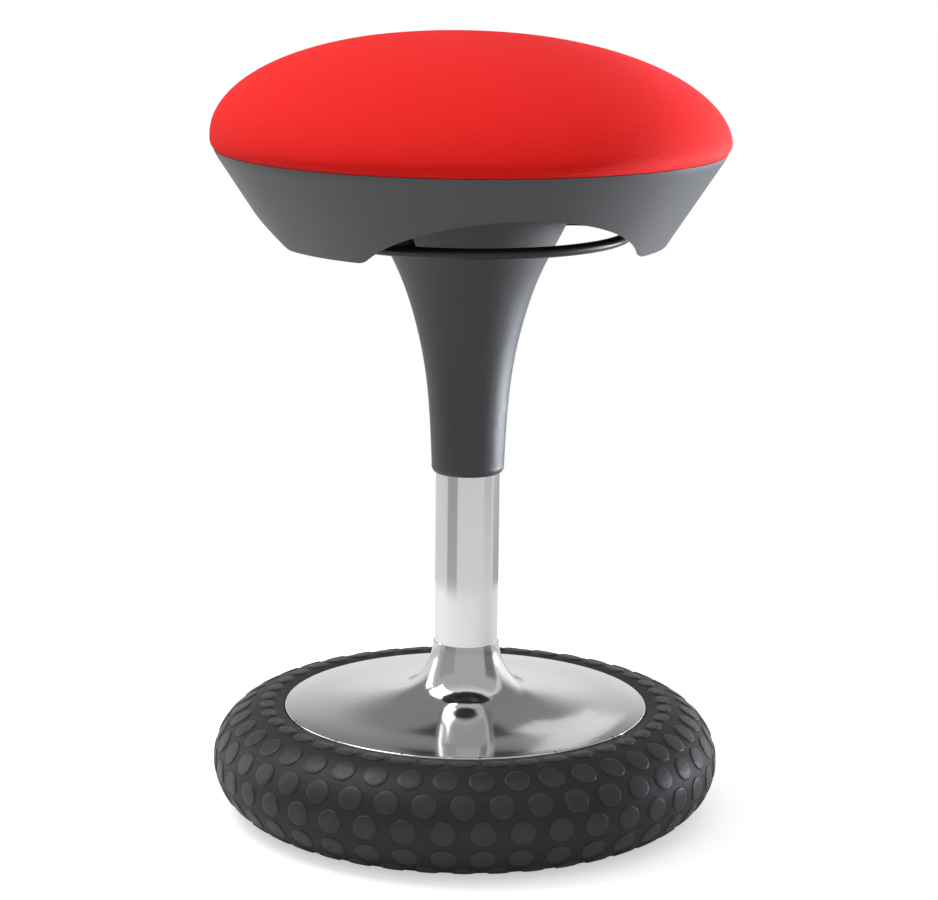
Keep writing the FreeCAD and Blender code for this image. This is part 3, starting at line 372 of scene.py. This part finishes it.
# %% [markdown]
# ## Rubber ring
# The ring's section is an ellipse that is cut off inside, where the metal disc and the base plate sit in
# it. The outline is spun round the axis. A low ridge runs round it where the mould's halves met.

# %% Ring body
TYRE_RADIUS = 155.0 * MM           # axis to the middle of the section
TYRE_HALF_WIDTH = 44.2 * MM
TYRE_HALF_HEIGHT = 41.8 * MM
TYRE_CENTRE = 41.2 * MM            # height of the section's middle
TYRE_EDGE = 143.9 * MM             # where the disc's rim meets the rubber
TYRE_SEAT = 79.3 * MM              # height of the ledge under that rim
TYRE_BORE = 122.3 * MM
TYRE_LIP = 128.8 * MM              # inner edge underneath, round the base plate
TYRE_LIP_TOP = 30.0 * MM
SEAM_ANGLE = -14.6
SEAM_HEIGHT = 0.8 * MM
SEAM_WIDTH = 1.1 * MM
SECTION_STEPS = 110
RING_STEPS = 160
TOP_ANGLE = math.degrees(math.acos((TYRE_EDGE - TYRE_RADIUS) / TYRE_HALF_WIDTH))
BOTTOM_ANGLE = -math.degrees(math.acos((TYRE_LIP - TYRE_RADIUS) / TYRE_HALF_WIDTH))


def on_section(angle, out=0.0):
    """Radius and height of a point on the ring's section, pushed out along its normal."""
    across = math.cos(math.radians(angle))
    up = math.sin(math.radians(angle))
    normal = Vector((across / TYRE_HALF_WIDTH, up / TYRE_HALF_HEIGHT)).normalized()
    off_seam = math.radians(angle - SEAM_ANGLE) * TYRE_HALF_WIDTH / SEAM_WIDTH
    out += SEAM_HEIGHT * math.exp(-off_seam * off_seam)
    height = TYRE_CENTRE + TYRE_HALF_HEIGHT * up + normal.y * out
    return TYRE_RADIUS + TYRE_HALF_WIDTH * across + normal.x * out, max(height, 0.0)


ring = bmesh.new()
nub_layer = ring.verts.layers.float.new("nub")
sweep = BOTTOM_ANGLE - TOP_ANGLE
outline = [on_section(TOP_ANGLE + sweep * i / SECTION_STEPS) for i in range(SECTION_STEPS + 1)]
outline += [(TYRE_LIP, TYRE_LIP_TOP), (TYRE_BORE, TYRE_LIP_TOP)]
outline += [(TYRE_BORE, TYRE_SEAT), (TYRE_EDGE, TYRE_SEAT)]
spin_outline(ring, outline, RING_STEPS, closed=True)
print("section from", round(TOP_ANGLE), "to", round(BOTTOM_ANGLE), "degrees")

# %% [markdown]
# ## Nubs
# Six rows of round nubs stand just under a millimetre proud. One nub is a low disc with a rounded edge,
# spun from half its outline. It is laid on the section by turning its flat coordinates into an angle
# round the section and a turn round the axis, so that it curves with the rubber, and a spin that
# duplicates it fills the row. Its foot is sunk in the rubber. Some rows are shifted by half a nub's
# pitch, as in the photograph.

# %% Rows of nubs
NUBS_ROUND = 42
NUB_HEIGHT = 0.85 * MM
NUB_SUNK = 0.6 * MM
NUB_STEPS = 22
NUB_TOP = 0.6                      # share of the height above which the rubber counts as a nub's top
# Half outline of one nub: share of its half width, share of its height
NUB_OUTLINE = [(0.0, 1.0), (0.35, 1.0), (0.7, 0.98), (0.88, 0.9), (0.96, 0.66), (1.0, 0.0), (1.01, -0.7)]
# Rows: angle round the section, half size along the section and round the ring in mm, shift in pitches
NUB_ROWS = [
    (86.5, 5.9, 9.6, 0.5),
    (57.0, 10.0, 10.0, 0.0),
    (29.0, 10.0, 10.0, 0.5),
    (1.0, 10.0, 10.0, 0.0),
    (-29.0, 9.6, 10.0, 0.0),
    (-57.0, 9.6, 9.6, 0.5),
]

for angle, half_section, half_round, shift in NUB_ROWS:
    before = set(ring.verts)
    spin_outline(ring, NUB_OUTLINE, NUB_STEPS)
    nub = [v for v in ring.verts if v not in before]
    middle = shift * 2 * math.pi / NUBS_ROUND
    radius = on_section(angle)[0]
    for v in nub:
        share = v.co.z
        turn = middle + v.co.x * half_round * MM / radius
        around = angle + math.degrees(v.co.y * half_section * MM / TYRE_HALF_WIDTH)
        out, height = on_section(around, share * (NUB_HEIGHT if share > 0 else NUB_SUNK))
        v[nub_layer] = 1.0 if share > NUB_TOP else 0.0
        v.co = Vector((out * math.sin(turn), -out * math.cos(turn), height))
    faces = list({f for v in nub for f in v.link_faces})
    edges = list({e for f in faces for e in f.edges})
    bmesh.ops.spin(ring, geom=nub + edges + faces, cent=(0, 0, 0), axis=(0, 0, 1),
                   angle=2 * math.pi * (NUBS_ROUND - 1) / NUBS_ROUND, steps=NUBS_ROUND - 1,
                   use_duplicate=True)
print("nubs:", NUBS_ROUND * len(NUB_ROWS))

tyre = make_object("tyre_rubber", ring, "rubber")
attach(tyre, "base")
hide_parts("tyre")

# %% [markdown]
# ## Cushion
# The seat is a dome whose crown lies behind the axis. Every level of it is a circle, so its half outline
# is spun, and the dome then leans back by shifting each level. The cover runs from its hem under the
# board, round the edge and over the crown. A dome that is only spun looks turned from wood. So the cover
# starts a little small, and a cloth simulation with air pressure lets the foam press it out against its
# own tension.

# %% Cushion outline
CUSHION_RADIUS = 200.8 * MM
CUSHION_RISE = 77.6 * MM           # widest line to the crown
CUSHION_FULLNESS = 0.93            # below 1 the shoulders are fuller than an ellipse's
CUSHION_MIDDLE = 533.0 * MM        # height of the widest line
CUSHION_BOTTOM = 525.2 * MM
CUSHION_CORNER = 3.2 * MM
CUSHION_LEAN = 48.0 * MM
CUSHION_LEAN_POWER = 1.1
BOARD_EDGE = 187.4 * MM
BOARD_TOP = 533.3 * MM
HEM_RADIUS = 150.0 * MM
HEM_HEIGHT = 519.6 * MM
SEGMENTS = 144
EDGE_STEPS = 6
DOME_STEPS = 40


def dome_outline(inset):
    """Half outline from under the edge to the crown, as radius and height."""
    bottom = CUSHION_BOTTOM + inset
    points = []
    widest = CUSHION_RADIUS - inset
    for i in range(EDGE_STEPS + 1):
        turn = math.pi / 2 * i / EDGE_STEPS
        points.append((widest - CUSHION_CORNER * (1 - math.sin(turn)),
                       bottom + (CUSHION_MIDDLE - bottom) * (1 - math.cos(turn))))
    for i in range(1, DOME_STEPS + 1):
        turn = math.pi / 2 * i / DOME_STEPS
        points.append((widest * max(math.cos(turn), 0.0) ** CUSHION_FULLNESS,
                       CUSHION_MIDDLE + (CUSHION_RISE - inset) * math.sin(turn)))
    points[-1] = (0.0, points[-1][1])
    return points


def lean_back(builder):
    """Shifts each level of the dome back, more towards the crown."""
    for v in builder.verts:
        share = min(max((v.co.z - CUSHION_MIDDLE) / CUSHION_RISE, 0.0), 1.0)
        v.co.y += CUSHION_LEAN * share ** CUSHION_LEAN_POWER


print("crown at", round((CUSHION_MIDDLE + CUSHION_RISE) / MM), "mm")

# %% [markdown]
# The cover's outline is the hem, a corner round the board's edge and the dome. While it is spun, every
# vertex still has a place on that outline, so its distance along the cloth from the crown is looked up
# there and becomes the UV map: distance and direction as a point on the flat cloth. Only then does the
# dome lean back. The hem's faces get the tape's material.

# %% Cover outline
START_SMALL = 1.2 * MM
HEM_MIDDLE = 170.0 * MM
HEM_CORNER = 1.0 * MM
HEM_BEND = 0.8 * MM
hem = [
    (HEM_RADIUS, HEM_HEIGHT),
    (HEM_MIDDLE, HEM_HEIGHT),
    (BOARD_EDGE - HEM_CORNER, HEM_HEIGHT),
    (BOARD_EDGE, HEM_HEIGHT + HEM_CORNER),
    (BOARD_EDGE, CUSHION_BOTTOM - HEM_BEND),
    (BOARD_EDGE + HEM_BEND, CUSHION_BOTTOM),
]
dome = dome_outline(START_SMALL)
dome[0] = (dome[0][0], CUSHION_BOTTOM)
outline = hem + dome

away = [0.0]
for (r0, z0), (r1, z1) in zip(outline[::-1], outline[-2::-1]):
    away.append(away[-1] + math.hypot(r1 - r0, z1 - z0))
away = away[::-1]
print("cloth from crown to hem:", round(away[0] / MM), "mm")

# %% Cover mesh and its map
cover_mesh = bmesh.new()
cover_mesh.verts.layers.float.new("away")
spin_outline(cover_mesh, outline, SEGMENTS)
away_layer = cover_mesh.verts.layers.float["away"]
for v in cover_mesh.verts:
    flat = math.hypot(v.co.x, v.co.y)
    off = [abs(radius - flat) + abs(height - v.co.z) for radius, height in outline]
    v[away_layer] = away[off.index(min(off))]
cloth_map = cover_mesh.loops.layers.uv.new("cloth")
for face in cover_mesh.faces:
    middle = face.calc_center_median()
    direction = math.atan2(middle.y, middle.x)
    face.material_index = 1 if middle.z < CUSHION_BOTTOM - HEM_BEND / 2 else 0
    for loop in face.loops:
        turn = math.atan2(loop.vert.co.y, loop.vert.co.x) if loop.vert.co.xy.length > MM else direction
        distance = loop.vert[away_layer]
        loop[cloth_map].uv = (distance * math.cos(turn), distance * math.sin(turn))
lean_back(cover_mesh)
cover = make_object("seat_cover_knit", cover_mesh, "red_knit", "black_tape")

# %% [markdown]
# The hem is pinned, because it is stapled to the board. Gravity is off and air pressure stands for the
# foam. No point may move further than a small cap, so the cushion keeps its size. The result is applied,
# so the finished mesh has no simulation left on it, and a thin wall is added inwards.

# %% Press the cover out
PRESSURE_CAP = 2.5 * MM
PRESSURE = 2.5
COVER_THICKNESS = 1.3 * MM
FRAMES = 15


def press_out(piece, pinned, cap):
    """Blows a piece up against its own tension and keeps the result as its mesh."""
    start = [v.co.copy() for v in piece.data.vertices]
    group = piece.vertex_groups.new(name="stapled")
    group.add(pinned, 1.0, "REPLACE")
    cloth = piece.modifiers.new("cloth", "CLOTH")
    settings = cloth.settings
    settings.quality = 6
    settings.mass = 0.3
    settings.tension_stiffness = 40
    settings.compression_stiffness = 40
    settings.bending_stiffness = 2.0
    settings.vertex_group_mass = "stapled"
    settings.use_pressure = True
    settings.uniform_pressure_force = PRESSURE
    settings.effector_weights.gravity = 0.0
    for number in range(1, FRAMES + 1):
        bpy.context.scene.frame_set(number)
    pressed = piece.evaluated_get(bpy.context.evaluated_depsgraph_get())
    ends = [v.co.copy() for v in pressed.data.vertices]
    piece.modifiers.remove(cloth)
    bpy.context.scene.frame_set(1)
    for vert, first, last in zip(piece.data.vertices, start, ends):
        move = last - first
        vert.co = first + (move.normalized() * cap if move.length > cap else move)
    moved = max((vert.co - first).length for vert, first in zip(piece.data.vertices, start))
    print("pressed out by up to", round(moved / MM, 2), "mm")


stapled = [v.index for v in cover.data.vertices if v.co.z < CUSHION_BOTTOM + 0.1 * MM]
press_out(cover, stapled, PRESSURE_CAP)
wall = cover.modifiers.new("thickness", "SOLIDIFY")
wall.thickness = COVER_THICKNESS
wall.offset = -1.0
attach(cover, "seat")
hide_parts("seat_cover")

# %% [markdown]
# Under the cover lies the foam, with a pocket in which the board sits. It doesn't show, but it fills the
# cover when the part is looked at from inside or cut open.

# %% Foam
FOAM_INSET = 4.5 * MM
POCKET_ROOM = 0.6 * MM
foam_mesh = bmesh.new()
foam_dome = dome_outline(FOAM_INSET)
pocket = BOARD_EDGE + POCKET_ROOM
pocket_outline = [(0.0, BOARD_TOP), (pocket, BOARD_TOP), (pocket, foam_dome[0][1])]
spin_outline(foam_mesh, pocket_outline + foam_dome, SEGMENTS)
lean_back(foam_mesh)
core = make_object("foam_core", foam_mesh, "foam")
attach(core, "seat")
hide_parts("foam_pad")

# %% [markdown]
# ## Studio
# Polished metal shows the room, so the room matters as much as the metal. The camera sees plain white
# past the stool. Matt surfaces get an even daylight, brighter from above. What metal mirrors is a white
# room with a few soft-edged panels, lighter or darker, set where the photograph's reflections call for
# them. Each is a soft rectangle of directions in the world's own coordinates.

# %% World levels
CAMERA_AZIMUTH = -12.7             # the camera stands to the left of the stool's front
# Direction (0 towards the camera, positive to its right), half width, elevation, half height and softness
# in degrees, and what the panel adds to the room's white
PANELS = [
    (0.0, 100.0, 26.0, 34.0, 8.0, -0.36),       # high in front, a dim wall
    (-60.0, 24.0, 14.0, 18.0, 5.0, -0.12),      # left front
    (82.0, 18.0, 10.0, 22.0, 5.0, -0.30),       # right
    (135.0, 22.0, 8.0, 20.0, 6.0, 0.35),        # right, half behind
    (180.0, 70.0, 42.0, 24.0, 8.0, -0.62),      # the whole back, high up, in the disc's front
    (180.0, 3.2, 31.0, 4.0, 0.6, -0.22),        # a darker spot there, the mound before the hub
    (175.4, 1.5, 24.0, 5.0, 0.3, 0.50),         # a small window, the bright patch beside it
    (-56.0, 20.0, -16.0, 9.0, 3.0, -0.30),      # low on the left, a band in the tube
    (140.0, 30.0, -16.0, 9.0, 3.0, -0.36),      # low on the right, half behind
    (145.0, 34.0, -46.0, 18.0, 6.0, 0.60),      # lower still, a glow on that side
]
ROOM = 0.88
BELOW = -0.17                      # what the room loses below the horizon
BELOW_FROM = -6.0                  # degrees, where that is reached
DARKEST = 0.02
DAY_LOW, DAY_HIGH = 10.0, 80.0     # degrees between which the daylight rises
DAYLIGHT = 0.42
OVERHEAD = 0.55
print("panels:", len(PANELS))

# %% World nodes
world = bpy.data.worlds.new("studio")
bpy.context.scene.world = world
world.use_nodes = True
tree = world.node_tree
tree.nodes.clear()
facing = add(tree, "TexCoord", out="Generated")
east, north, up = [add(tree, "SeparateXYZ", facing, out=axis) for axis in "XYZ"]
south = add(tree, "Math", north, -1.0, operation="MULTIPLY")
azimuth = add(tree, "Math", east, south, operation="ARCTAN2")
elevation = add(tree, "Math", up, operation="ARCSINE")
mirrored = add(tree, "MapRange", elevation, math.radians(BELOW_FROM), 0.0, ROOM + BELOW, ROOM)
for at, half_width, height_at, half_height, soft, amount in PANELS:
    away = add(tree, "Math", azimuth, math.radians(at + CAMERA_AZIMUTH), operation="SUBTRACT")
    away = add(tree, "Math", away, math.pi, -math.pi, operation="WRAP")
    away = add(tree, "Math", away, operation="ABSOLUTE")
    rise = add(tree, "Math", elevation, math.radians(height_at), operation="SUBTRACT")
    rise = add(tree, "Math", rise, operation="ABSOLUTE")
    inner, outer = math.radians(half_width - soft), math.radians(half_width + soft)
    wide = add(tree, "MapRange", away, inner, outer, 1.0, 0.0, interpolation_type="SMOOTHSTEP")
    inner, outer = math.radians(half_height - soft), math.radians(half_height + soft)
    tall = add(tree, "MapRange", rise, inner, outer, 1.0, 0.0, interpolation_type="SMOOTHSTEP")
    panel = add(tree, "Math", wide, tall, operation="MULTIPLY")
    mirrored = add(tree, "Math", panel, amount, mirrored, operation="MULTIPLY_ADD")
mirrored = add(tree, "Math", mirrored, DARKEST, operation="MAXIMUM")
daylight = add(tree, "MapRange", elevation, math.radians(DAY_LOW), math.radians(DAY_HIGH), DAYLIGHT,
               DAYLIGHT + OVERHEAD)
glossy = add(tree, "LightPath", out="Is Glossy Ray")
level = add(tree, "Mix", {0: glossy, 2: daylight, 3: mirrored}, data_type="FLOAT")
seen = add(tree, "Math", add(tree, "LightPath", out="Is Camera Ray"),
           add(tree, "LightPath", out="Is Transmission Ray"), operation="MAXIMUM")
level = add(tree, "Mix", {0: seen, 2: level, 3: 1.0}, data_type="FLOAT")
add(tree, "OutputWorld", add(tree, "Background", (1.0, 1.0, 1.0, 1.0), level))
print("world nodes:", len(tree.nodes))

# %% [markdown]
# ## Lamps
# Three soft lamps shape the matt surfaces: a key from high on the left, which lights the cushion's crown,
# and a strip at each side for the shell's edges. The right one has a grid, so its light fans out by only
# 32 degrees and reaches the seat and shroud but not the ring. They are weak enough that a colour renders
# about as written.

# %% Lamps
def softbox(name, at, rise, distance, width, height, power, colour="#FFFFFF", aim=0.3, spread=180):
    """A rectangular lamp in a direction from a height on the stool's axis, as the camera sees it."""
    turn = math.radians(at + CAMERA_AZIMUTH)
    lift = math.radians(rise)
    target = Vector((0.0, 0.0, aim))
    outward = Vector((math.sin(turn), -math.cos(turn), 0.0)) * math.cos(lift)
    place = target + (outward + Vector((0.0, 0.0, math.sin(lift)))) * distance
    data = bpy.data.lights.new(name, "AREA")
    data.shape = "RECTANGLE"
    data.size, data.size_y = width, height
    data.energy = power
    data.color = rgb(colour)[:3]
    data.spread = math.radians(spread)
    lamp = bpy.data.objects.new(name, data)
    lamp.location = place
    lamp.rotation_euler = (target - place).to_track_quat("-Z", "Y").to_euler()
    bpy.context.collection.objects.link(lamp)
    print(name, "at", [round(c, 2) for c in place])


softbox("key", -96.0, 56.0, 1.9, 1.1, 0.9, 14.0)
softbox("right_strip", 113.0, -9.0, 1.6, 0.4, 0.5, 2.8, "#EEF3FF", 0.56, 32)
softbox("left_strip", -112.0, 16.0, 1.9, 0.5, 1.4, 4.2)

# %% [markdown]
# ## Floor
# A floor gives the stool its contact shadow. It is a pale disc. The photograph's ground is pure white, so
# a little emission that only the camera sees lifts it, while the light that it throws up at the stool
# stays as it was.

# %% Floor
FLOOR_RADIUS = 0.70
FLOOR_LIFT = 0.52
floor_finish, tree, shader = new_material("floor", Roughness=0.9, Specular_IOR_Level=0.1)
mottle = add(tree, "TexNoise", {"Vector": add(tree, "TexCoord", out="Object"), "Scale": 3.0})
tone = add(tree, "Mix", {0: mottle, 6: rgb("#F6F6F6"), 7: rgb("#FAFAFA")}, data_type="RGBA", out=2)
lifted = add(tree, "Math", add(tree, "LightPath", out="Is Camera Ray"), FLOOR_LIFT,
             operation="MULTIPLY")
shader.inputs["Emission Color"].default_value = (1.0, 1.0, 1.0, 1.0)
connect(tree, shader, Base_Color=tone, Emission_Strength=lifted)
FINISHES["floor"] = floor_finish
disc = bmesh.new()
bmesh.ops.create_circle(disc, cap_ends=True, segments=96, radius=FLOOR_RADIUS)
make_object("floor", disc, "floor")

# %% [markdown]
# ## Camera
# The photograph was taken from a little above the seat and to the left of the stool's front. Ellipses
# tell this: the flatter a circle looks, the lower the camera stands. Its place, pitch and lens were
# fitted to the outlines of the disc, the ring and the seat. The view transform is Standard, so a colour
# shows as it is written.

# %% Camera
CAMERA_DISTANCE = 2.295            # along the floor from the stool's axis, in metres
CAMERA_HEIGHT = 0.7847
CAMERA_PITCH = 12.2                # degrees down
CAMERA_ROLL = 0.6
CAMERA_SIDE = 0.0008               # to the right of the line to the axis
LENS = 115.25                      # millimetres, on a sensor 36 mm wide
lens = bpy.data.cameras.new("camera")
lens.lens = LENS
lens.sensor_width = 36.0
camera = bpy.data.objects.new("camera", lens)
turn = math.radians(CAMERA_AZIMUTH)
outward = Vector((math.sin(turn), -math.cos(turn), 0.0))
rightward = Vector((math.cos(turn), math.sin(turn), 0.0))
camera.location = CAMERA_DISTANCE * outward + CAMERA_SIDE * rightward + Vector((0.0, 0.0, CAMERA_HEIGHT))
looking = Matrix.Rotation(turn, 3, "Z") @ Matrix.Rotation(math.radians(90.0 - CAMERA_PITCH), 3, "X")
camera.rotation_euler = (looking @ Matrix.Rotation(math.radians(CAMERA_ROLL), 3, "Z")).to_euler()
bpy.context.collection.objects.link(camera)
bpy.context.scene.camera = camera
bpy.context.scene.view_settings.view_transform = "Standard"
print("camera at", [round(c, 3) for c in camera.location])
